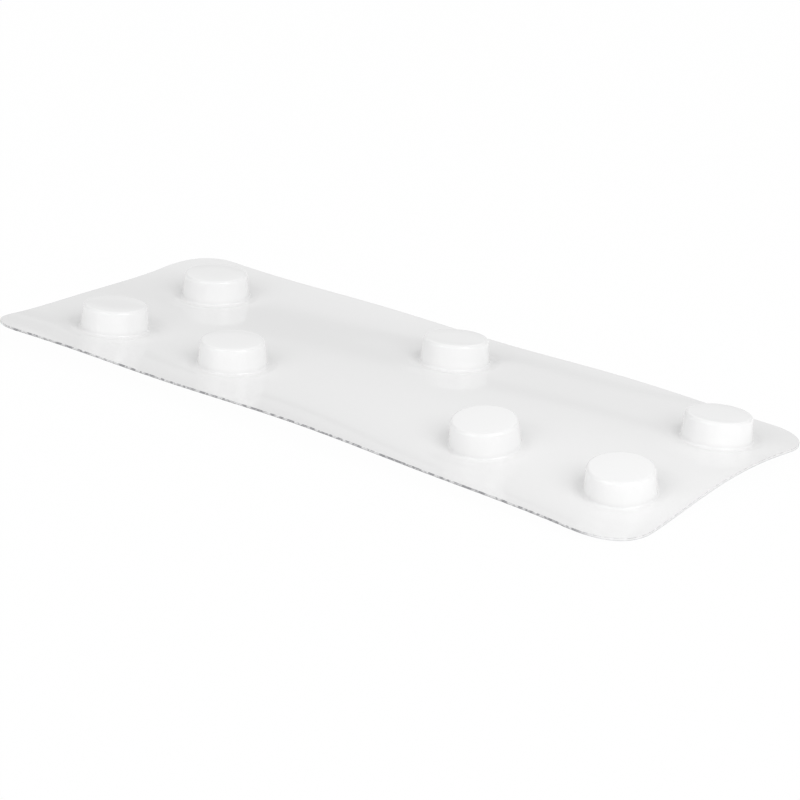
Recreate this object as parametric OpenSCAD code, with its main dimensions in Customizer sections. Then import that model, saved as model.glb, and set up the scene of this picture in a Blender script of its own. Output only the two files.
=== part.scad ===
// Tablet blister pack: a card of white formed film with seven closed round pockets,
// and the aluminium foil that is sealed to the film's underside.
// The card is warped, as such cards are once they have cooled. It lies foil side down,
// with its length along X and its width along Y. The origin is at the middle of its
// footprint, on the surface that it lies on. The near row of pockets is on the -Y side.

/* [Card] */
// Length of the card
card_l = 115; // [106:1:124]
// Width of the card
card_w = 47.8; // [45:0.2:52]
// Radius of the card's corners
corner_r = 7.7; // [3:0.1:9]
// Thickness of the formed film
film_t = 0.3; // [0.2:0.05:0.5]
// Thickness of the lidding foil
foil_t = 0.04; // [0.03:0.01:0.1]

/* [Pocket grid] */
// From the -X end to the first pockets' middle, with a bare margin for batch marks
first_x = 14.4; // [13:0.05:16]
// From the +X end to the last pockets' middle
last_x = 9.45; // [9:0.05:11]
// Distance between the two rows
row_gap = 22.4; // [19:0.05:24]
// How far the grid sits off the card's centre line, towards +Y
grid_y = 0.95; // [-1:0.05:1]

/* [Pockets] */
// Diameter of a pocket at its foot, where the wall would meet the flat film
foot_d = 10; // [8:0.05:11]
// Height of a pocket above the film
pocket_h = 3.6; // [2.5:0.05:5]
// Lean of the wall, in degrees
draft = 5.5; // [3:0.5:12]
// Radius of the rounded rim
rim_r = 0.5; // [0.3:0.05:1.2]
// Radius of the hollow fillet round the foot
fillet_r = 0.35; // [0.2:0.05:0.9]
// Width of the ring round the foot where the film is drawn thinner
ring_w = 1.7; // [1.2:0.1:2.2]
// Depth of that ring
ring_sink = 0.1; // [0:0.01:0.15]

/* [Warp] */
// Fall of both ends below the middle
bow = 0.7; // [0:0.05:1.5]
// Further fall of the +X end, and the same rise of the other
droop = 0.7; // [0:0.05:1]
// Rise of the far +X corner and the near -X corner, and the same fall of the other two
twist = 1.6; // [0:0.05:2]
// Fall of the long edges below the middle line, at mid-length
arch = 1.95; // [0:0.05:2.5]
// How much more they fall at the +X end, and less at the other
arch_gain = 1.5; // [0:0.05:2]
// Upturn of the long edges, over the arch
flare = 1.9; // [0:0.05:2.2]
// Rise of the far edge at both ends, and the same fall of the near edge
end_roll = 0.6; // [0:0.05:1]
// Fall of the far edge close to it, and the same rise of the near edge
edge_roll = 0.7; // [0:0.05:0.8]
// How the last value changes along the card, at the +X end
edge_curl = 0.9; // [0:0.05:1]
// Wave of the long edges, which lie lower beside a pocket than beside an empty place
ripple = 0.15; // [0:0.05:0.3]

/* [Hidden] */
// Points along one side of a cell, an even number
side = 8;
around = 4 * side;
// Steps round the rim and round the fillet, and rings from a pocket to its cell's edge
rim_steps = 4;
fillet_steps = 3;
spread_steps = 3;
// Which cells hold a pocket, from the -X end, in the near row and in the far row
near_row = [true, true, false, true, true];
far_row = [true, false, true, false, true];
has_pocket = [near_row, far_row];
// How far each pocket leans towards -Y, in degrees, over the lean of the sheet there
near_lean = [-2, -0.8, 0, 1.9, -1.6];
far_lean = [0.5, 0, -0.7, 0, -1.3];
lean = [near_lean, far_lean];
last_col = len(near_row) - 1;
pitch = (card_l - first_x - last_x) / last_col;
col_x = [for (i = [0:last_col]) -card_l / 2 + first_x + i * pitch];
row_y = [grid_y - row_gap / 2, grid_y + row_gap / 2];
cells = [for (j = [0:1]) for (i = [0:last_col]) [i, j]];

function mix(a, b, t) = a + (b - a) * t;
function ramp(t) = t * t * (3 - 2 * t);
function unit(v) = v / norm(v);

// Height of the warped sheet over its own flat middle, at a point of its plan
function warp(p) =
    let (u = 2 * p.x / card_l, v = 2 * p.y / card_w)
    - bow * u * u - droop * u * u * u + twist * u * v
    - (arch + arch_gain * u) * v * v + flare * v * v * v * v
    + end_roll * u * u * v - (edge_roll + edge_curl * u) * v * v * v
    - ripple * cos(180 * (p.x - col_x[2]) / pitch) * v * v * v;

// A pocket keeps the film round it flat, on the plane nearest to the sheet at four points of
// its foot with its own lean added, and the sheet is back at its warp a little short of the
// card's nearest edge
hold_r = 0.95 * last_x;
function foot_z(c) = [for (a = [0:90:270]) warp(c + foot_d / 2 * [cos(a), sin(a)])];
function lean_at(c) = lean[c.y > grid_y ? 1 : 0][round((c.x - col_x[0]) / pitch)];
function slope(c) = let (z = foot_z(c)) [z[0] - z[2], z[1] - z[3]] / foot_d + [0, tan(lean_at(c))];
function plane(c, p) = let (z = foot_z(c)) (z[0] + z[1] + z[2] + z[3]) / 4 + slope(c) * (p - c);
function held(c, p) =
    let (t = (norm(p - c) - foot_d / 2) / (hold_r - foot_d / 2))
    t <= 0 ? plane(c, p) : t >= 1 ? warp(p) : mix(plane(c, p), warp(p), ramp(t));

// The card is tipped until its three touching points are level: the near +X corner, the
// -X end, and the flat round the first far pocket
touch = [
    [0.993 * card_l / 2, -0.777 * card_w / 2],
    [-0.962 * card_l / 2, 0.614 * card_w / 2],
    [col_x[0] - 4.95, row_y[1] + 4.8]
];
touch_z = [warp(touch[0]), warp(touch[1]), held([col_x[0], row_y[1]], touch[2])];
arm_a = touch[1] - touch[0];
arm_b = touch[2] - touch[0];
rise_a = touch_z[1] - touch_z[0];
rise_b = touch_z[2] - touch_z[0];
tip = [rise_a * arm_b.y - rise_b * arm_a.y, rise_b * arm_a.x - rise_a * arm_b.x] / cross(arm_a, arm_b);
function axis_of(c) = unit([tip.x - slope(c).x, tip.y - slope(c).y, 1]);

// Height of the tipped sheet in a cell, before it comes down to the surface
function sheet_z(i, j, p) =
    (has_pocket[j][i] ? held([col_x[i], row_y[j]], p) : warp(p)) - tip * p;

// One side of a cell from corner a to corner b, without b. A side that ends in a rounded
// corner of the card spends half of its points on that corner's arc.
function side_points(a, b, round_a, round_b) =
    let (along = unit(b - a), inward = [-along.y, along.x])
    [for (k = [0 : side - 1]) let (t = k / side, turn = 45 * (2 * t - 1))
        round_a && t < 0.5
            ? a + corner_r * ((1 + sin(turn)) * along + (1 - cos(turn)) * inward)
        : round_b && t > 0.5
            ? b - corner_r * ((1 - sin(turn)) * along - (1 - cos(turn)) * inward)
        : round_a ? mix(a + corner_r * along, b, 2 * t - 1)
        : round_b ? mix(a, b - corner_r * along, 2 * t)
        : mix(a, b, t)];

// The edge of a cell, anticlockwise from its near -X corner
function cell_edge(i, j) =
    let (
        x0 = i == 0 ? -card_l / 2 : col_x[i] - pitch / 2,
        x1 = i == last_col ? card_l / 2 : col_x[i] + pitch / 2,
        y0 = j == 0 ? -card_w / 2 : grid_y,
        y1 = j == 0 ? grid_y : card_w / 2,
        c = [[x0, y0], [x1, y0], [x1, y1], [x0, y1]],
        r = [i == 0 && j == 0, i == last_col && j == 0, i == last_col && j == 1, i == 0 && j == 1]
    )
    [for (s = [0:3]) each side_points(c[s], c[(s + 1) % 4], r[s], r[(s + 1) % 4])];

// Which sides of a cell are the card's own edge: near, +X, far, -X
function outer_sides(i, j) = [j == 0, i == last_col, j == 1, i == 0];

// Section of a pocket, as [radius, height over the film], from its top to the flat film
top_r = foot_d / 2 - pocket_h * tan(draft);
ring_r = foot_d / 2 + ring_w;
rim_mid = top_r - rim_r * (1 / cos(draft) - tan(draft));
fillet_mid = foot_d / 2 + fillet_r * (1 / cos(draft) - tan(draft)) + ring_sink * tan(draft);
section = [
    [rim_mid * 0.55, pocket_h],
    for (a = [0 : rim_steps]) let (t = (90 - draft) * a / rim_steps)
        [rim_mid + rim_r * sin(t), pocket_h - rim_r * (1 - cos(t))],
    for (a = [0 : fillet_steps]) let (t = (90 - draft) * (1 - a / fillet_steps))
        [fillet_mid - fillet_r * sin(t), fillet_r * (1 - cos(t)) - ring_sink],
    [mix(fillet_mid, ring_r, 0.6), -ring_sink / 2],
    [ring_r, 0]
];

// Rings of points over one cell, from a radius to its edge, at a height over the card's underside
function spread(i, j, from, over) =
    let (c = [col_x[i], row_y[j]], edge = cell_edge(i, j))
    [for (s = [1 : spread_steps])
        [for (k = [0 : around - 1])
            let (a = 360 * (k / around) - 135)
            let (p = mix(c + from * [cos(a), sin(a)], edge[k], s / spread_steps))
            [p.x, p.y, sheet_z(i, j, p) + over]]];

// A ring of a pocket's section, turned about the pocket's own axis
function turned(i, j, radius, h, over) =
    let (c = [col_x[i], row_y[j]])
    [for (k = [0 : around - 1])
        let (a = 360 * (k / around) - 135, p = c + radius * [cos(a), sin(a)])
        [p.x, p.y, sheet_z(i, j, p) + over] + h * axis_of(c)];

function middle(i, j, h, over) =
    let (c = [col_x[i], row_y[j]])
    [[c.x, c.y, sheet_z(i, j, c) + over] + h * axis_of(c)];

function flat_face(i, j, over) =
    has_pocket[j][i]
        ? [middle(i, j, 0, over), turned(i, j, ring_r, 0, over), each spread(i, j, ring_r, over)]
        : [middle(i, j, 0, over), each spread(i, j, 0, over)];

// The film's outer face, with the pocket's section where the cell has a pocket
function outer_face(i, j, over) =
    has_pocket[j][i]
        ? [middle(i, j, pocket_h, over),
           for (s = section) turned(i, j, s.x, s.y, over),
           each spread(i, j, ring_r, over)]
        : flat_face(i, j, over);

// The card's lowest point comes down to the surface
under = -min([for (c = cells) for (r = flat_face(c.x, c.y, 0)) for (p = r) p.z]);

// Triangles of a face that looks up, or down if it is turned over
function face_triangles(rings, up) =
    let (
        fan = [for (k = [0 : around - 1]) [0, 1 + (k + 1) % around, 1 + k]],
        bands = [for (m = [0 : len(rings) - 3]) for (k = [0 : around - 1])
            let (a = 1 + m * around + k, b = 1 + m * around + (k + 1) % around)
            each [[a, b + around, a + around], [a, b, b + around]]]
    )
    [for (f = concat(fan, bands)) up ? f : [f[2], f[1], f[0]]];

// The cut edge between an upper and a lower ring, on the card's own sides of a cell
function edge_patch(upper, lower, outer) =
    let (ks = [for (k = [0 : around - 1]) if (outer[floor(k / side)]) k])
    [
        [for (k = ks) each [upper[k], upper[(k + 1) % around], lower[(k + 1) % around], lower[k]]],
        [for (q = [0 : len(ks) - 1]) each [[4 * q, 4 * q + 1, 4 * q + 2], [4 * q, 4 * q + 2, 4 * q + 3]]]
    ];

function face_patch(rings, up) = [[for (r = rings) each r], face_triangles(rings, up)];

// One closed sheet, from an upper and a lower face for each cell
function sheet_patches(uppers, lowers) = [
    for (n = [0 : len(cells) - 1]) each [
        face_patch(uppers[n], true),
        face_patch(lowers[n], false),
        edge_patch(uppers[n][len(uppers[n]) - 1], lowers[n][len(lowers[n]) - 1],
            outer_sides(cells[n].x, cells[n].y))
    ]
];

function count_before(patches, n) = n == 0 ? 0 : count_before(patches, n - 1) + len(patches[n - 1][0]);

module sheet(uppers, lowers) {
    patches = sheet_patches(uppers, lowers);
    polyhedron(
        points = [for (p = patches) each p[0]],
        faces = [for (n = [0 : len(patches) - 1])
            let (base = count_before(patches, n))
            for (f = patches[n][1]) [for (v = f) v + base]],
        convexity = 6
    );
}

module formed_film() {
    color([0.95, 0.95, 0.95])
        sheet(
            [for (c = cells) outer_face(c.x, c.y, under + foil_t + film_t)],
            [for (c = cells) flat_face(c.x, c.y, under + foil_t)]
        );
}

module lidding_foil() {
    color([0.75, 0.76, 0.78])
        sheet(
            [for (c = cells) flat_face(c.x, c.y, under + foil_t)],
            [for (c = cells) flat_face(c.x, c.y, under)]
        );
}

formed_film();
lidding_foil();
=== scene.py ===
import bmesh
import bpy
import numpy as np
from mathutils import Matrix, Vector


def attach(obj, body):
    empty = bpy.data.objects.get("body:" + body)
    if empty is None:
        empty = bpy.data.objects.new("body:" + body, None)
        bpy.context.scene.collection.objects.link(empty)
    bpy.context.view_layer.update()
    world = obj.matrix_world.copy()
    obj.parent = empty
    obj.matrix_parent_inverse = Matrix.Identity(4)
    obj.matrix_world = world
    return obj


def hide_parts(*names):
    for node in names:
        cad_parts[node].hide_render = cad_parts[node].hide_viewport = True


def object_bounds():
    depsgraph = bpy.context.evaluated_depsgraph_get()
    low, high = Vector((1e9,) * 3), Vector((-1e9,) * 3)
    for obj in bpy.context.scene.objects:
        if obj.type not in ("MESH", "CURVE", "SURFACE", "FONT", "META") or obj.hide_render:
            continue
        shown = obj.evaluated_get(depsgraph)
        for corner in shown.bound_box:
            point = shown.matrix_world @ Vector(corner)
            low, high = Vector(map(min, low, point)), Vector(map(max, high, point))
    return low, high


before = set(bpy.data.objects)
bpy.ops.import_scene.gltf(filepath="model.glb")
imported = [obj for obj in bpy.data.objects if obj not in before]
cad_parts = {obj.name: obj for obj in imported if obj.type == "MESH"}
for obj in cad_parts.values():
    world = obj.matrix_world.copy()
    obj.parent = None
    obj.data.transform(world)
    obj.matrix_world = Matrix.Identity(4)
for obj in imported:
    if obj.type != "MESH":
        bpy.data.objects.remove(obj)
cad_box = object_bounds()

# The formed film: a card of opaque white vinyl, 0.3 mm thick, with seven closed round pockets.
# It is heated and blown into a cold tool in one piece, which leaves a slightly sunk ring round
# each foot, and it warps as it cools. The punch cuts its edge and smears foil over it, and that
# edge is also painted dark as painted shade.
mm = 0.001
card_l = cad_box[1][0] - cad_box[0][0]
card_w = cad_box[1][1] - cad_box[0][1]
corner_r = 7.7 * mm
film_t = 0.3 * mm
foil_t = 0.04 * mm
first_x = 14.4 * mm
last_x = 9.45 * mm
row_gap = 22.4 * mm
grid_y = 0.95 * mm
foot_r = 5 * mm
pocket_h = 3.6 * mm
draft = np.radians(5.5)
rim_r = 0.5 * mm
fillet_r = 0.35 * mm
ring_w = 1.7 * mm
ring_sink = 0.1 * mm
top_crown = 0.08 * mm
crown_edge = np.radians(4.5)
rim_drop = 0.03 * mm
cut_r = 0.05 * mm
# Heights of the warp's parts
bow, droop, twist, arch, arch_gain = 0.7 * mm, 0.7 * mm, 1.6 * mm, 1.95 * mm, 1.5 * mm
flare, end_roll, edge_roll, edge_curl, ripple = 1.9 * mm, 0.6 * mm, 0.7 * mm, 0.9 * mm, 0.15 * mm
hem, hem_from = 0.75 * mm, 0.68
# The five by two grid of pockets, and how many degrees each filled place leans by
columns = 5
pitch = (card_l - first_x - last_x) / (columns - 1)
column_x = -card_l / 2 + first_x + pitch * np.arange(columns)
row_y = np.array([grid_y - row_gap / 2, grid_y + row_gap / 2])
pockets = {
    (0, 0): -2, (1, 0): -0.8, (3, 0): 1.9, (4, 0): -1.6,
    (0, 1): 0.5, (2, 1): -0.7, (4, 1): -1.3,
}


def ramp(t):
    """A smooth step: 0 below 0, 1 above 1, and 3 t squared less 2 t cubed between."""
    t = np.clip(t, 0, 1)
    return t * t * (3 - 2 * t)


def warp(x, y):
    """Height of the cooled sheet over its middle: a bow and a droop along the card, a twist,
    an arch across it that grows towards +X, and turned edges with a slight ripple. The turn is
    straight in a hem along each edge, most at the -X end, where s runs from 0 to 1."""
    u, v = 2 * x / card_l, 2 * y / card_w
    s = np.clip((np.abs(v) - hem_from) / (1 - hem_from), 0, 1)
    return (
        - bow * u**2 - droop * u**3 + twist * u * v - (arch + arch_gain * u) * v**2 + flare * v**4
        + end_roll * u**2 * v - (edge_roll + edge_curl * u) * v**3
        - ripple * np.cos(np.pi * (x - column_x[2]) / pitch) * v**3
        + hem * ((1 - u) / 2) ** 2 * s * s * (1 - s)
    )


def foot_plane(i, j):
    """The plane nearest to the sheet at four points of a pocket's foot, with the pocket's own
    lean towards -Y added: its height at the pocket's middle, and its slopes along X and Y."""
    cx, cy = column_x[i], row_y[j]
    east, west = warp(cx + foot_r, cy), warp(cx - foot_r, cy)
    north, south = warp(cx, cy + foot_r), warp(cx, cy - foot_r)
    slope = np.array([east - west, north - south]) / (2 * foot_r)
    slope[1] += np.tan(np.radians(pockets.get((i, j), 0)))
    return (east + west + north + south) / 4, slope


hold_r = 0.95 * last_x


def held(x, y):
    """The sheet, flat on each foot's plane and back at its warp at hold_r from the middle."""
    z = warp(x, y)
    for i, j in pockets:
        cx, cy = column_x[i], row_y[j]
        height, slope = foot_plane(i, j)
        plane = height + slope[0] * (x - cx) + slope[1] * (y - cy)
        far = np.hypot(x - cx, y - cy)
        z = z + (plane - z) * (1 - ramp((far - foot_r) / (hold_r - foot_r)))
    return z


# The card lies on its near +X corner, its -X end and the flat round its first far pocket. The
# first two are shares of half the card's length and width, and the last is from the pocket.
corner_touch, end_touch = np.array([0.993, -0.777]), np.array([-0.962, 0.614])
pocket_touch = np.array([-4.95, 4.8]) * mm
half_card = np.array([card_l, card_w]) / 2
touch = np.array([
    corner_touch * half_card,
    end_touch * half_card,
    np.array([column_x[0], row_y[1]]) + pocket_touch,
])
touch_z = held(touch[:, 0], touch[:, 1])
tip = np.linalg.solve(touch[1:] - touch[0], touch_z[1:] - touch_z[0])
sheet_low = (touch_z - touch @ tip).min()


def under(x, y):
    """Height of the card's underside over the surface that it lies on."""
    return held(x, y) - tip[0] * x - tip[1] * y - sheet_low


def axis_of(i, j):
    """The unit normal of a pocket's foot plane, once the card is tipped onto its three points."""
    slope = foot_plane(i, j)[1] - tip
    axis = np.array([-slope[0], -slope[1], 1.0])
    return axis / np.linalg.norm(axis)


def outward(points):
    """The outline's plan normal: away from the nearest point of the rectangle of corner middles."""
    core = half_card - corner_r
    away = points - np.clip(points, -core, core)
    far = np.linalg.norm(away, axis=-1, keepdims=True)
    return np.where(far > corner_r - 0.001 * mm, away / np.maximum(far, 1e-9), 0.0)


# Points along each side of a cell, and so round each pocket
side = 32
around = 4 * side


def cell_edge(i, j):
    """The edge of a pocket's cell, anticlockwise from its near -X corner, with as many points on
    each side. A side that ends in a corner of the card spends half of them on its arc."""
    x0 = -card_l / 2 if i == 0 else column_x[i] - pitch / 2
    x1 = card_l / 2 if i == columns - 1 else column_x[i] + pitch / 2
    y0 = -card_w / 2 if j == 0 else grid_y
    y1 = grid_y if j == 0 else card_w / 2
    corners = np.array([[x0, y0], [x1, y0], [x1, y1], [x0, y1]])
    rounded = [(i, j) == place for place in ((0, 0), (columns - 1, 0), (columns - 1, 1), (0, 1))]
    t = (np.arange(side) / side)[:, None]
    turn = np.pi / 4 * (2 * t - 1)
    sides = []
    for s in range(4):
        a, b = corners[s], corners[(s + 1) % 4]
        along = (b - a) / np.linalg.norm(b - a)
        inward = np.array([-along[1], along[0]])
        path = a + (b - a) * t
        if rounded[s]:
            arc = a + corner_r * ((1 + np.sin(turn)) * along + (1 - np.cos(turn)) * inward)
            path = np.where(t < 0.5, arc, a + corner_r * along + (b - a - corner_r * along) * (2 * t - 1))
        if rounded[(s + 1) % 4]:
            arc = b - corner_r * ((1 - np.sin(turn)) * along - (1 - np.cos(turn)) * inward)
            path = np.where(t > 0.5, arc, a + (b - a - corner_r * along) * 2 * t)
        sides.append(path)
    return np.concatenate(sides)


def pocket_section():
    """Radius and height of a pocket from its middle to the flat film: a top with a slight crown
    that falls as the fourth power of the radius, a rim arc, a straight wall that leans by the
    draft, a hollow fillet arc and the thinned ring."""
    ring_r = foot_r + ring_w
    lean = 1 / np.cos(draft) - np.tan(draft)
    rim_mid = foot_r - pocket_h * np.tan(draft) - rim_r * lean
    fillet_mid = foot_r + fillet_r * lean + ring_sink * np.tan(draft)
    rim = np.linspace(crown_edge, np.pi / 2 - draft, 12)
    fillet = np.linspace(np.pi / 2 - draft, 0, 12)
    rim_part = np.stack([rim_mid + rim_r * np.sin(rim), pocket_h - rim_drop - rim_r * (1 - np.cos(rim))])
    top = np.linspace(0.1, 0.96, 10) * rim_part[0, 0]
    fillet_lift = fillet_r * (1 - np.cos(fillet)) - ring_sink
    fillet_part = np.stack([fillet_mid - fillet_r * np.sin(fillet), fillet_lift])
    wall = rim_part[:, -1:] + (fillet_part[:, :1] - rim_part[:, -1:]) * np.linspace(0, 1, 7)[1:-1]
    ring = np.linspace(0, 1, 8)[1:]
    ring_part = np.stack([fillet_mid + (ring_r - fillet_mid) * ring, -ring_sink * (1 - ramp(ring))])
    top_part = np.stack([top, rim_part[1, 0] + top_crown * (1 - (top / rim_part[0, 0]) ** 4)])
    return np.concatenate([top_part, rim_part, wall, fillet_part, ring_part], axis=1), ring_r


def cell_face(i, j, over, section, from_r, edge, steps):
    """Grid of points over one cell: rings of the section, each lifted along the pocket's axis by
    its height, and then rings that pass from a circle to the cell's edge in straight steps. Each
    point stands over the card's underside by a fixed height."""
    cx, cy = column_x[i], row_y[j]
    angle = 2 * np.pi * np.arange(around) / around - np.radians(135)
    spokes = np.stack([np.cos(angle), np.sin(angle)], axis=1)
    circle = np.array([cx, cy]) + from_r * spokes
    rings = circle + (edge - circle) * steps[:, None, None]
    lifts = np.zeros(len(steps))
    if section is not None:
        turned = np.array([cx, cy]) + section[0][:, None, None] * spokes
        rings = np.concatenate([turned, rings])
        lifts = np.concatenate([section[1], lifts])
    grid = np.dstack([rings, under(rings[..., 0], rings[..., 1]) + over])
    return grid + lifts[:, None, None] * axis_of(i, j)


def grid_faces(rows, count, start, flip):
    """Quads between neighbouring rows of a grid whose columns close on themselves."""
    r, k = np.meshgrid(np.arange(rows - 1), np.arange(count), indexing="ij")
    a, b = start + r * count + k, start + r * count + (k + 1) % count
    quads = np.stack([a, a + count, b + count, b], axis=-1).reshape(-1, 4)
    return quads[:, ::-1] if flip else quads


def add_face(points, faces, grid, pole, flip):
    """Adds one cell's grid to the lists of points and faces, closed at its middle by a fan."""
    start = sum(len(p) for p in points)
    points.append(pole[None])
    points.append(grid.reshape(-1, 3))
    k = np.arange(around)
    fan = np.stack([np.full(around, start), start + 1 + k, start + 1 + (k + 1) % around], axis=-1)
    faces.extend((fan[:, ::-1] if flip else fan).tolist())
    faces.extend(grid_faces(len(grid), around, start + 1, flip).tolist())


def outline_loop():
    """The card's edge, anticlockwise from its near -X corner, from the cells' own edge points."""
    parts = [(i, 0, 0) for i in range(columns)] + [(columns - 1, 0, 1), (columns - 1, 1, 1)]
    parts += [(i, 1, 2) for i in reversed(range(columns))] + [(0, 1, 3), (0, 0, 3)]
    return np.concatenate([cell_edge(i, j)[s * side:(s + 1) * side] for i, j, s in parts])


def make_piece(name, points, faces, node):
    """Joins the grids into one closed mesh with its shared points merged, shaded smooth, and
    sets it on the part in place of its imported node."""
    mesh = bpy.data.meshes.new(name)
    mesh.from_pydata(np.concatenate(points).tolist(), [], faces)
    work = bmesh.new()
    work.from_mesh(mesh)
    bmesh.ops.remove_doubles(work, verts=work.verts, dist=0.0005 * mm)
    work.to_mesh(mesh)
    work.free()
    mesh.shade_smooth()
    mesh.set_sharp_from_angle(angle=np.radians(50))
    piece = bpy.data.objects.new(name, mesh)
    bpy.context.scene.collection.objects.link(piece)
    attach(piece, "root")
    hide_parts(node)
    return piece


section, ring_r = pocket_section()
last_ring = 0.985
spread = np.concatenate([np.linspace(0, 1, 15)[1:-1], [last_ring, 1.0]])
under_steps = np.linspace(0, 1, 19)[1:]
over = foil_t + film_t
film_points, film_faces = [], []
for j in range(2):
    for i in range(columns):
        middle = np.array([column_x[i], row_y[j]])
        edge = cell_edge(i, j)
        trimmed = edge - cut_r * outward(edge)
        if (i, j) in pockets:
            grid = cell_face(i, j, over, section, ring_r, trimmed, spread)
            lift = pocket_h - rim_drop - rim_r * (1 - np.cos(crown_edge)) + top_crown
        else:
            grid = cell_face(i, j, over, None, 0.0, trimmed, spread)
            lift = 0.0
        pole = np.append(middle, under(*middle) + over) + lift * axis_of(i, j)
        add_face(film_points, film_faces, grid, pole, False)
        grid = cell_face(i, j, foil_t, None, 0.0, edge, under_steps)
        add_face(film_points, film_faces, grid, np.append(middle, under(*middle) + foil_t), True)

# The cut edge: a small round at the top, then straight down to the foil
loop = outline_loop()
normals = outward(loop)
turn = np.linspace(0, np.pi / 2, 5)
inset = np.concatenate([cut_r * (1 - np.sin(turn)), [0.0]])
drop = np.concatenate([cut_r * (1 - np.cos(turn)), [film_t]])
band = loop - inset[:, None, None] * normals
top_z = under(band[..., 0], band[..., 1]) + over
cut = np.dstack([band, top_z - drop[:, None]])
start = sum(len(p) for p in film_points)
film_points.append(cut.reshape(-1, 3))
film_faces.extend(grid_faces(len(cut), len(loop), start, False).tolist())
film = make_piece("formed_film_skin", film_points, film_faces, "formed_film")


def vertex_places(piece):
    """The piece's points, one row each."""
    co = np.empty(len(piece.data.vertices) * 3)
    piece.data.vertices.foreach_get("co", co)
    return co.reshape(-1, 3)


def vertex_tilts(piece):
    """Sine squared of twice each vertex normal's tilt: 1 at 45 degrees, 0 where flat or upright."""
    normals = np.empty(len(piece.data.vertices) * 3)
    piece.data.vertices.foreach_get("normal", normals)
    upright = normals.reshape(-1, 3)[:, 2] ** 2
    return 4 * upright * (1 - upright)


def add_weight(piece, name, values):
    """Stores one number for each point, which the piece's material reads by its name."""
    weight = piece.data.attributes.new(name, "FLOAT", "POINT")
    weight.data.foreach_set("value", values.astype(np.float32))


def smear_and_shade(places):
    """How much foil the punch drags over the cut, and how much painted shade the cut edge gets:
    all of it along the card, little at its ends, where the outline's normal turns towards X."""
    return 1 - 0.85 * ramp(np.abs(outward(places[:, :2])[:, 0]) / 0.5)


def in_from_edge(places):
    """Plan distance of each point from the card's outline, measured inward: the corner radius
    less how far the point is past the rectangle of corner middles."""
    over_x, over_y = (np.abs(places[:, :2]) - (half_card - corner_r)).T
    inside = corner_r - np.maximum(over_x, over_y)
    return np.where((over_x > 0) & (over_y > 0), corner_r - np.hypot(over_x, over_y), inside)


places = vertex_places(film)
above = places[:, 2] - under(places[:, 0], places[:, 1]) - foil_t
# Painted shade: on a pocket's upper half the film is painted less white where its normal tilts near 45
# degrees, which dims the rim's highlight.
painted_rim_shade = vertex_tilts(film) * (above > pocket_h / 2)
foot_fade = 0.8 * mm
add_weight(film, "tablet_white_less_rim_shade", ramp((above - film_t) / foot_fade) * (1 - painted_rim_shade))
# Painted shade: this edge weight also darkens the film's cut edge, most along the card's long sides.
add_weight(film, "punched_edge_and_shade", (in_from_edge(places) < 0.6 * cut_r) * smear_and_shade(places))


def srgb(code):
    """The linear colour of an sRGB hex value."""
    c = np.array([int(code[k:k + 2], 16) for k in (1, 3, 5)]) / 255
    return (*np.where(c <= 0.04045, c / 12.92, ((c + 0.055) / 1.055) ** 2.4).tolist(), 1.0)


def add_node(tree, kind, settings=None, inputs=None):
    """Adds one shader node with its settings, its input values and its links."""
    item = tree.nodes.new(kind)
    for key, value in (settings or {}).items():
        setattr(item, key, value)
    for key, value in (inputs or {}).items():
        if isinstance(key, str):
            socket = [s for s in item.inputs if s.enabled and key == s.name][0]
        else:
            socket = item.inputs[key]
        if isinstance(value, bpy.types.NodeSocket):
            tree.links.new(value, socket)
        else:
            socket.default_value = value
    return item


def new_material(name):
    """A material with an empty node tree, and that tree."""
    material = bpy.data.materials.new(name)
    material.use_nodes = True
    material.node_tree.nodes.clear()
    return material, material.node_tree


# Rigid vinyl film, calendered and thermoformed: an even opaque white with a clear gloss. It is
# a little whiter over the tablets than over the foil. At a pocket's rim it is painted less white,
# as painted shade that dims the rim's highlight. It waves faintly where it cooled, and its punched
# edge is matt, painted dark grey in flecks: foil smeared over the cut, and painted shade that is
# strongest along the card's long sides.
film_white, tablet_white, smear_and_shade_grey = srgb("#EDEDED"), srgb("#F3F3F3"), srgb("#97979A")
wave_size, wave_depth = 9 * mm, 0.008 * mm
grain_size, grain_depth = 0.9 * mm, 0.0012 * mm
fleck_size = 0.8 * mm
film_material, tree = new_material("calendered_white_vinyl")
place = add_node(tree, "ShaderNodeTexCoord")
wave = add_node(tree, "ShaderNodeTexNoise", inputs={
    "Vector": place.outputs["Object"], "Scale": 1 / wave_size, "Detail": 1.0})
grain = add_node(tree, "ShaderNodeTexNoise", inputs={
    "Vector": place.outputs["Object"], "Scale": 1 / grain_size, "Detail": 2.0})
wave_bump = add_node(tree, "ShaderNodeBump", inputs={
    "Height": wave.outputs["Fac"], "Strength": 1.0, "Distance": wave_depth})
grain_bump = add_node(tree, "ShaderNodeBump", inputs={
    "Height": grain.outputs["Fac"], "Strength": 1.0, "Distance": grain_depth,
    "Normal": wave_bump.outputs["Normal"]})
tablet_white_less_rim_shade = add_node(tree, "ShaderNodeAttribute", {"attribute_name": "tablet_white_less_rim_shade"})
tone = add_node(tree, "ShaderNodeMix", {"data_type": "RGBA"}, {
    "Factor": tablet_white_less_rim_shade.outputs["Fac"], "A": film_white, "B": tablet_white})
punched = add_node(tree, "ShaderNodeAttribute", {"attribute_name": "punched_edge_and_shade"})
roughness = add_node(tree, "ShaderNodeMapRange", inputs={
    "Value": punched.outputs["Fac"], "From Max": 0.15, "To Min": 0.08, "To Max": 0.5})
fleck = add_node(tree, "ShaderNodeTexNoise", inputs={
    "Vector": place.outputs["Object"], "Scale": 1 / fleck_size, "Detail": 2.0})
torn_fleck = add_node(tree, "ShaderNodeMapRange", inputs={
    "Value": fleck.outputs["Fac"], "From Min": 0.42, "From Max": 0.58, "To Min": 0.3, "To Max": 1.0})
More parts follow.
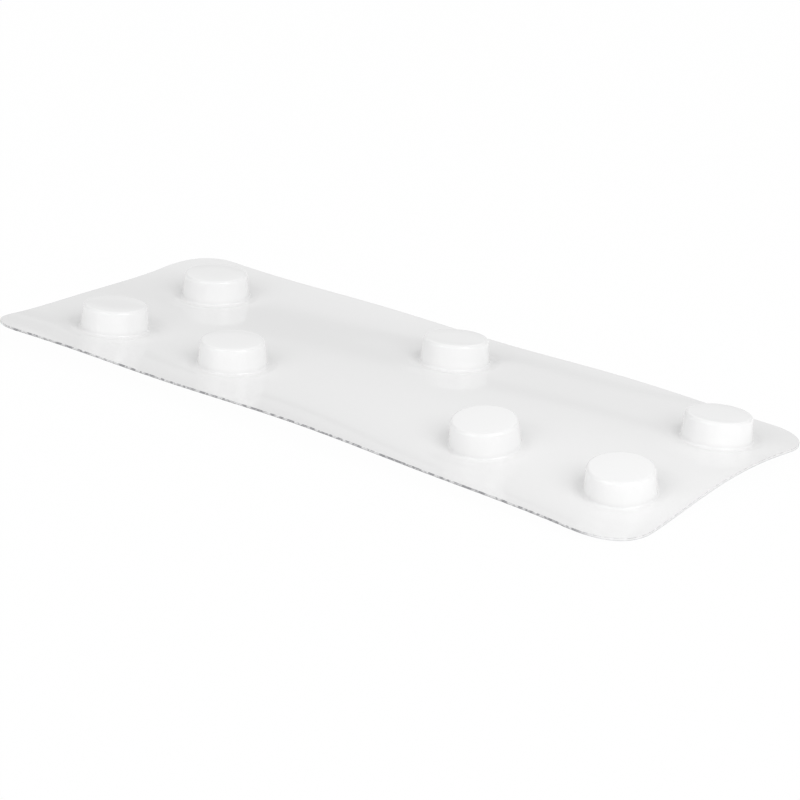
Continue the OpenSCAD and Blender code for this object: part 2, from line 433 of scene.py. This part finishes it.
# Painted shade: the dark grey on the film's cut edge is partly foil smear and partly painted shade.
edge_smear_and_shade = add_node(tree, "ShaderNodeMath", {"operation": "MULTIPLY"}, {
    0: punched.outputs["Fac"], 1: torn_fleck.outputs["Result"]})
tone = add_node(tree, "ShaderNodeMix", {"data_type": "RGBA"}, {
    "Factor": edge_smear_and_shade.outputs[0], "A": tone.outputs["Result"], "B": smear_and_shade_grey})
shader = add_node(tree, "ShaderNodeBsdfPrincipled", inputs={
    "Base Color": tone.outputs["Result"], "Roughness": roughness.outputs["Result"], "IOR": 1.53,
    "Normal": grain_bump.outputs["Normal"]})
add_node(tree, "ShaderNodeOutputMaterial", inputs={"Surface": shader.outputs["BSDF"]})
film.data.materials.append(film_material)

# The lidding foil: hard aluminium foil sealed over the film's whole underside, smooth over the
# pockets' mouths. The punch tears its cut edge into a fine burr.
lattice = 1.9 * mm
burr = 0.02 * mm
mouth_fade = 0.6 * mm
foil_rows, foil_columns = 340, 142


def rounded_grid(nx, ny):
    """A grid over the card's outline: straight lines inside, and each corner's square drawn
    in to its arc by the elliptical map of a square to a disc."""
    half_l, half_w = half_card
    x, y = np.meshgrid(np.linspace(-half_l, half_l, nx), np.linspace(-half_w, half_w, ny), indexing="ij")
    a = np.clip((np.abs(x) - (half_l - corner_r)) / corner_r, 0, 1)
    b = np.clip((np.abs(y) - (half_w - corner_r)) / corner_r, 0, 1)
    x = x - np.sign(x) * corner_r * a * (1 - np.sqrt(1 - b * b / 2))
    y = y - np.sign(y) * corner_r * b * (1 - np.sqrt(1 - a * a / 2))
    return x, y


def sealed(x, y):
    """How far the foil is sealed to the film: 0 over the pockets' mouths, 1 past their feet."""
    weight = np.ones(x.shape)
    for i, j in pockets:
        weight = weight * ramp((np.hypot(x - column_x[i], y - row_y[j]) - foot_r) / mouth_fade)
    return weight


def torn(s):
    """Depth of the burr along the edge, 0.4 to 1: two waves near the lattice's spacing that
    drift in and out of step, so that it looks torn and not drawn."""
    drift = 1.3 * np.sin(s / (5 * mm))
    wave = np.sin(2 * np.pi * s / lattice) + 0.8 * np.sin(2 * np.pi * s / (0.61 * lattice) + drift)
    return 0.4 + 0.6 * ramp(0.5 + 0.5 * wave)


def rim_of(grid):
    """The rim of a grid's values, anticlockwise from its near -X corner."""
    return np.concatenate([grid[:-1, 0], grid[-1, :-1], grid[:0:-1, -1], grid[0, :0:-1]])


x, y = rounded_grid(foil_rows, foil_columns)
low = under(x, y)
rim_mask = np.zeros(x.shape, bool)
rim_mask[[0, -1], :] = rim_mask[:, [0, -1]] = True
low = np.maximum(np.where(rim_mask, low - burr * torn(x + y), low), 0)
foil_points = [np.stack([x, y, low], axis=-1).reshape(-1, 3)]
r, k = np.meshgrid(np.arange(foil_rows - 1), np.arange(foil_columns - 1), indexing="ij")
first = r * foil_columns + k
quads = np.stack([first, first + 1, first + foil_columns + 1, first + foil_columns], axis=-1)
foil_faces = quads.reshape(-1, 4).tolist()
rim = np.stack([rim_of(x), rim_of(y)], axis=-1)
spine_half = (card_l - card_w) / 2
spine = np.stack([np.clip(rim[:, 0], -spine_half, spine_half), 0 * rim[:, 1]], axis=-1)
inner = rim + (spine - rim) * np.linspace(0, 1, 9)[:, None, None]
upper = np.dstack([inner, under(inner[..., 0], inner[..., 1]) + foil_t])
wall = np.stack([upper[0], np.column_stack([rim, rim_of(low)])])
foil_faces.extend(grid_faces(2, len(rim), len(foil_points[0]), False).tolist())
foil_points.append(wall.reshape(-1, 3))
foil_faces.extend(grid_faces(len(upper), len(rim), sum(len(p) for p in foil_points), True).tolist())
foil_points.append(upper.reshape(-1, 3))
foil = make_piece("lidding_foil_skin", foil_points, foil_faces, "lidding_foil")
places = vertex_places(foil)
# Painted shade: the foil's cut edge is painted dark, most along the card's long sides.
add_weight(foil, "cut_edge_and_shade", (in_from_edge(places) < 0.01 * mm) * smear_and_shade(places))
add_weight(foil, "sealed", sealed(places[:, 0], places[:, 1]))

# Hard-rolled aluminium foil: a bright metal with fine rolling lines along the card, drawn far
# coarser than real ones so that they show. The heated plate that seals it presses a lattice of
# fine lines into it, at 45 degrees both ways. Its torn cut edge is rough, and painted dark in
# flecks shorter than the lattice's spacing, as painted shade that is strongest along the card's
# long sides.
foil_grey, torn_edge_shade_grey = srgb("#D3D4D6"), srgb("#7C7C7F")
line_size, line_depth = 0.25 * mm, 0.0015 * mm
seal_depth, seal_flank = 0.045 * mm, 0.16
foil_material, tree = new_material("rolled_aluminium_foil")
place = add_node(tree, "ShaderNodeTexCoord")
stretch = add_node(tree, "ShaderNodeMapping", inputs={
    "Vector": place.outputs["Object"], "Scale": (0.04, 1.0, 1.0)})
lines = add_node(tree, "ShaderNodeTexNoise", inputs={
    "Vector": stretch.outputs["Vector"], "Scale": 1 / line_size, "Detail": 2.0})
line_bump = add_node(tree, "ShaderNodeBump", inputs={
    "Height": lines.outputs["Fac"], "Strength": 1.0, "Distance": line_depth})
turned = add_node(tree, "ShaderNodeMapping", inputs={
    "Vector": place.outputs["Object"], "Rotation": (0, 0, np.pi / 4), "Scale": 3 * (2**0.5 / lattice,)})
ways = add_node(tree, "ShaderNodeSeparateXYZ", inputs={0: turned.outputs["Vector"]})
pressed = []
for way in ("X", "Y"):
    off_line = add_node(tree, "ShaderNodeMath", {"operation": "PINGPONG"}, {0: ways.outputs[way], 1: 0.5})
    pressed.append(add_node(tree, "ShaderNodeMapRange", {"interpolation_type": "SMOOTHSTEP"}, {
        "Value": off_line.outputs[0], "From Min": 0.0, "From Max": seal_flank,
        "To Min": 1.0, "To Max": 0.0}))
both = add_node(tree, "ShaderNodeMath", {"operation": "MAXIMUM"}, {
    0: pressed[0].outputs["Result"], 1: pressed[1].outputs["Result"]})
seal = add_node(tree, "ShaderNodeAttribute", {"attribute_name": "sealed"})
depth = add_node(tree, "ShaderNodeMath", {"operation": "MULTIPLY"}, {
    0: both.outputs[0], 1: seal.outputs["Fac"]})
seal_bump = add_node(tree, "ShaderNodeBump", {"invert": True}, {
    "Height": depth.outputs[0], "Strength": 1.0, "Distance": seal_depth,
    "Normal": line_bump.outputs["Normal"]})
fleck = add_node(tree, "ShaderNodeTexNoise", inputs={
    "Vector": place.outputs["Object"], "Scale": 1 / (0.5 * lattice), "Detail": 1.0})
dark = add_node(tree, "ShaderNodeMapRange", inputs={
    "Value": fleck.outputs["Fac"], "From Min": 0.42, "From Max": 0.58, "To Min": 0.45, "To Max": 1.0})
cut = add_node(tree, "ShaderNodeAttribute", {"attribute_name": "cut_edge_and_shade"})
darkness = add_node(tree, "ShaderNodeMath", {"operation": "MULTIPLY"}, {
    0: cut.outputs["Fac"], 1: dark.outputs["Result"]})
tone = add_node(tree, "ShaderNodeMix", {"data_type": "RGBA"}, {
    "Factor": darkness.outputs[0], "A": foil_grey, "B": torn_edge_shade_grey})
roughness = add_node(tree, "ShaderNodeMapRange", inputs={
    "Value": cut.outputs["Fac"], "To Min": 0.26, "To Max": 0.6})
shader = add_node(tree, "ShaderNodeBsdfPrincipled", inputs={
    "Base Color": tone.outputs["Result"], "Metallic": 1.0, "Roughness": roughness.outputs["Result"],
    "Normal": seal_bump.outputs["Normal"]})
add_node(tree, "ShaderNodeOutputMaterial", inputs={"Surface": shader.outputs["BSDF"]})
foil.data.materials.append(foil_material)

# The studio: a wide white floor that the card lies on, a pale surround and two soft boxes in
# front of the card, to the left and the right. The floor shows white to the camera and in
# mirrors, and keeps a little of the card's shadow.
floor_half = 3.0
white_share = 0.98
floor_mesh = bpy.data.meshes.new("floor")
floor_corners = floor_half * np.array([[-1, -1, 0], [1, -1, 0], [1, 1, 0], [-1, 1, 0]])
floor_mesh.from_pydata(floor_corners.tolist(), [], [(0, 1, 2, 3)])
floor = bpy.data.objects.new("floor", floor_mesh)
bpy.context.scene.collection.objects.link(floor)
floor_material, tree = new_material("white_floor")
path = add_node(tree, "ShaderNodeLightPath")
seen = add_node(tree, "ShaderNodeMath", {"operation": "MAXIMUM"}, {
    0: path.outputs["Is Camera Ray"], 1: path.outputs["Is Glossy Ray"]})
seen = add_node(tree, "ShaderNodeMath", {"operation": "MAXIMUM"}, {
    0: seen.outputs[0], 1: path.outputs["Is Transmission Ray"]})
share = add_node(tree, "ShaderNodeMath", {"operation": "MULTIPLY"}, {
    0: seen.outputs[0], 1: white_share})
matt = add_node(tree, "ShaderNodeBsdfDiffuse", inputs={"Color": srgb("#F4F4F4")})
glow = add_node(tree, "ShaderNodeEmission", inputs={"Color": (1, 1, 1, 1), "Strength": 1.0})
mixed = add_node(tree, "ShaderNodeMixShader", inputs={
    0: share.outputs[0], 1: matt.outputs["BSDF"], 2: glow.outputs["Emission"]})
add_node(tree, "ShaderNodeOutputMaterial", inputs={"Surface": mixed.outputs["Shader"]})
floor_mesh.materials.append(floor_material)

# The photograph's viewing angle in degrees, which the soft boxes and the surround are set from
view_azimuth = 38.369
view_elevation = 21.829
view_roll = 1.239
view_distance = 566.91 * mm
view_aim = Vector((3.304, -1.334, 0)) * mm
lens_length, sensor_width = 180.66, 36.0


def toward(azimuth, elevation):
    """The direction from the card at an angle round from -Y towards +X, and an angle up."""
    a, e = np.radians(azimuth), np.radians(elevation)
    return Vector((np.sin(a) * np.cos(e), -np.cos(a) * np.cos(e), np.sin(e)))


def soft_box(name, azimuth, elevation, distance, width, height, watts):
    """A rectangular area light that faces the card from a distance in metres."""
    lamp = bpy.data.lights.new(name, "AREA")
    lamp.shape = "RECTANGLE"
    lamp.size = width
    lamp.size_y = height
    lamp.energy = watts
    item = bpy.data.objects.new(name, lamp)
    bpy.context.scene.collection.objects.link(item)
    direction = toward(azimuth, elevation)
    facing_card = direction.to_track_quat("Z", "Y").to_matrix().to_4x4()
    item.matrix_world = Matrix.Translation(direction * distance) @ facing_card


soft_box("left_box", view_azimuth - 50, elevation=38, distance=1.4, width=0.78, height=1.01, watts=3.5)
soft_box("right_box", view_azimuth + 42, elevation=40, distance=0.7, width=0.39, height=0.51, watts=1.56)

# The surround: a pale studio in soft grey levels. In front of the card they follow the height,
# and behind it they lie on lines that rise to the view's right, with one darker band low down.
world = bpy.data.worlds.new("surround")
bpy.context.scene.world = world
world.use_nodes = True
world.node_tree.nodes.clear()


def sky_levels(height, steps):
    """A ramp of grey levels over a height that runs from 0 at the horizon to 1 overhead."""
    level = add_node(world.node_tree, "ShaderNodeValToRGB", inputs={"Fac": height})
    while len(level.color_ramp.elements) < len(steps):
        level.color_ramp.elements.new(0.5)
    for stop, (place_at, value) in zip(level.color_ramp.elements, steps):
        stop.position = place_at
        stop.color = (value, value, value, 1)
    return level.outputs["Color"]


direction = add_node(world.node_tree, "ShaderNodeTexCoord")
slant = add_node(world.node_tree, "ShaderNodeVectorMath", {"operation": "DOT_PRODUCT"}, {
    0: direction.outputs["Generated"], 1: Vector((0, 0, 1)) - 0.5 * toward(view_azimuth + 90, 0)})
facing = add_node(world.node_tree, "ShaderNodeVectorMath", {"operation": "DOT_PRODUCT"}, {
    0: direction.outputs["Generated"], 1: toward(view_azimuth, 0)})
in_front = add_node(world.node_tree, "ShaderNodeMapRange", {"interpolation_type": "SMOOTHSTEP"}, {
    "Value": facing.outputs["Value"], "From Min": -0.6, "From Max": 0.2})
parts = add_node(world.node_tree, "ShaderNodeSeparateXYZ", inputs={0: direction.outputs["Generated"]})
behind_levels = sky_levels(slant.outputs["Value"], [
    (0.10, 0.72), (0.195, 0.76), (0.222, 0.58), (0.248, 0.58), (0.275, 0.72), (0.5, 0.76), (0.9, 0.52)])
front_levels = sky_levels(parts.outputs["Z"], [
    (0.0, 0.55), (0.2, 0.95), (0.4, 0.82), (0.6, 0.66), (0.8, 0.78), (1.0, 0.82)])
level = add_node(world.node_tree, "ShaderNodeMix", {"data_type": "RGBA"}, {
    "Factor": in_front.outputs["Result"], "A": behind_levels, "B": front_levels})
sky = add_node(world.node_tree, "ShaderNodeBackground", inputs={
    "Color": level.outputs["Result"], "Strength": 1.0})
add_node(world.node_tree, "ShaderNodeOutputWorld", inputs={"Surface": sky.outputs["Background"]})

# The camera, at the photograph's viewing angle and with its slight roll
lens = bpy.data.cameras.new("camera")
lens.lens = lens_length
lens.sensor_width = sensor_width
lens.clip_start = 0.01
camera = bpy.data.objects.new("camera", lens)
bpy.context.scene.collection.objects.link(camera)
back = toward(view_azimuth, view_elevation)
right = Vector((0, 0, 1)).cross(back).normalized()
up = back.cross(right)
roll = np.radians(view_roll)
tilted_right = np.cos(roll) * right + np.sin(roll) * up
tilted_up = np.cos(roll) * up - np.sin(roll) * right
turned = Matrix((tilted_right, tilted_up, back)).transposed().to_4x4()
camera.matrix_world = Matrix.Translation(view_aim + back * view_distance) @ turned
bpy.context.scene.camera = camera
bpy.context.scene.view_settings.view_transform = "Standard"
